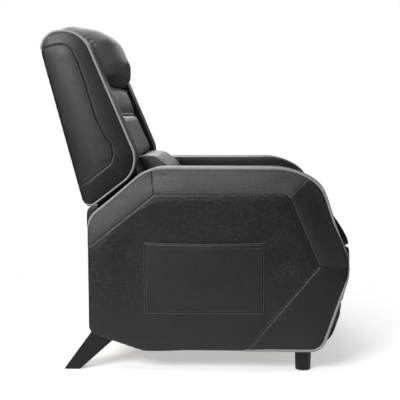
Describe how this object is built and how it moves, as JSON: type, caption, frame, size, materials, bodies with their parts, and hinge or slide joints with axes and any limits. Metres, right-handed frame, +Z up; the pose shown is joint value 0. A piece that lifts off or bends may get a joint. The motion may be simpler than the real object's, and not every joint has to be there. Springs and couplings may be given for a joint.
{
  "type": "recliner gaming armchair",
  "caption": "Padded push-back recliner armchair with side wings, headrest, lumbar pillow, side pockets and a swing-out footrest on linkages.",
  "frame": {"origin": "on the floor, under the middle of the chair's bounding box", "axes": "+Z up; the chair faces -Y; +X is the sitter's left"},
  "size_m": [0.796, 0.9253, 1.048],
  "materials": {
    "black_leather": "satin",
    "black_steel": "satin",
    "dust_cloth": "matte",
    "embossed_leather": "matte",
    "grey_leather": "satin",
    "leg_plastic": "satin",
    "pocket_leather": "satin",
    "roller_plastic": "satin",
    "timber": "matte",
    "webbing": "matte",
    "zinc_steel": "satin"
  },
  "bodies": {
    "base": {"arm_frame_left": "timber", "arm_frame_right": "timber", "arm_outer_pad_left": "black_leather", "arm_outer_pad_right": "black_leather", "arm_inner_pad_left": "black_leather", "arm_inner_pad_right": "black_leather", "arm_boxing_left": "embossed_leather", "arm_boxing_right": "embossed_leather", "side_pocket_left": "pocket_leather", "side_pocket_right": "pocket_leather", "front_leg_left": "leg_plastic", "front_leg_right": "leg_plastic", "rear_leg_left": "leg_plastic", "rear_leg_right": "leg_plastic", "leg_bolts": "zinc_steel", "front_cross_rail": "timber", "rear_cross_rail": "timber", "base_rear_panel": "black_leather", "dust_cover": "dust_cloth", "back_pivot_pins": "zinc_steel", "seat_slide_channels": "zinc_steel"},
    "seat": {"mechanism_plate_left": "black_steel", "mechanism_plate_right": "black_steel", "seat_side_rail_left": "timber", "seat_side_rail_right": "timber", "seat_front_rail": "timber", "seat_rear_rail": "timber", "seat_webbing": "webbing", "seat_cushion": "black_leather", "seat_slide_rollers": "roller_plastic"},
    "swing_links": {"swing_link_left": "black_steel", "swing_link_right": "black_steel", "footrest_torque_tube": "black_steel"},
    "guide_links": {"guide_link_left": "black_steel", "guide_link_right": "black_steel"},
    "reach_links": {"reach_link_left": "black_steel", "reach_link_right": "black_steel"},
    "control_links": {"control_link_left": "black_steel", "control_link_right": "black_steel"},
    "footrest": {"footrest_bracket_left": "black_steel", "footrest_bracket_right": "black_steel", "footrest_board": "timber", "footrest_upper_pad": "black_leather", "footrest_lower_pad": "black_leather"},
    "back": {"back_stile_left": "timber", "back_stile_right": "timber", "back_top_rail": "timber", "back_lower_rail": "timber", "back_hinge_arm_left": "black_steel", "back_hinge_arm_right": "black_steel", "back_webbing": "webbing", "lower_back_pad": "black_leather", "main_back_pad": "grey_leather", "upper_back_pad": "grey_leather", "headrest_pad": "black_leather", "back_rear_cover": "black_leather", "lower_back_roll": "black_leather", "wing_left": "black_leather", "wing_right": "black_leather"},
    "pillow": {"lumbar_pillow": "grey_leather"}
  },
  "joints": [
    {"name": "back_recline", "type": "hinge", "parent": "base", "child": "back", "pos_m": [0, 0.275, 0.412], "axis": [-1, 0, 0], "range_deg": [0, 50]},
    {"name": "seat_glide", "type": "slide", "parent": "base", "child": "seat", "axis": [0, -1, 0], "range_m": [0, 0.05]},
    {"name": "footrest_swing", "type": "hinge", "parent": "seat", "child": "swing_links", "pos_m": [0, -0.25, 0.308], "axis": [-1, 0, 0], "range_deg": [0, 90]},
    {"name": "guide_swing", "type": "hinge", "parent": "seat", "child": "guide_links", "pos_m": [0, -0.212, 0.284], "axis": [-1, 0, 0], "range_deg": [0, 90]},
    {"name": "reach_swing", "type": "hinge", "parent": "swing_links", "child": "reach_links", "pos_m": [0, -0.20276, 0.10338], "axis": [-1, 0, 0], "range_deg": [-90, 0]},
    {"name": "control_swing", "type": "hinge", "parent": "swing_links", "child": "control_links", "pos_m": [0, -0.21221, 0.14431], "axis": [-1, 0, 0], "range_deg": [-90, 0]},
    {"name": "footrest_turn", "type": "hinge", "parent": "reach_links", "child": "footrest", "pos_m": [0, -0.372, 0.221], "axis": [-1, 0, 0], "range_deg": [0, 90]},
    {"name": "pillow_height", "type": "slide", "parent": "back", "child": "pillow", "axis": [0, 0.3617, 0.9323], "range_m": [0, 0.12]}
  ],
  "couplings": [
    {"joint": "seat_glide", "follows": "back_recline", "m_per_rad": 0.057296},
    {"joint": "guide_swing", "follows": "footrest_swing", "ratio": 1},
    {"joint": "reach_swing", "follows": "footrest_swing", "ratio": -1},
    {"joint": "control_swing", "follows": "footrest_swing", "ratio": -1},
    {"joint": "footrest_turn", "follows": "footrest_swing", "ratio": 1}
  ]
}
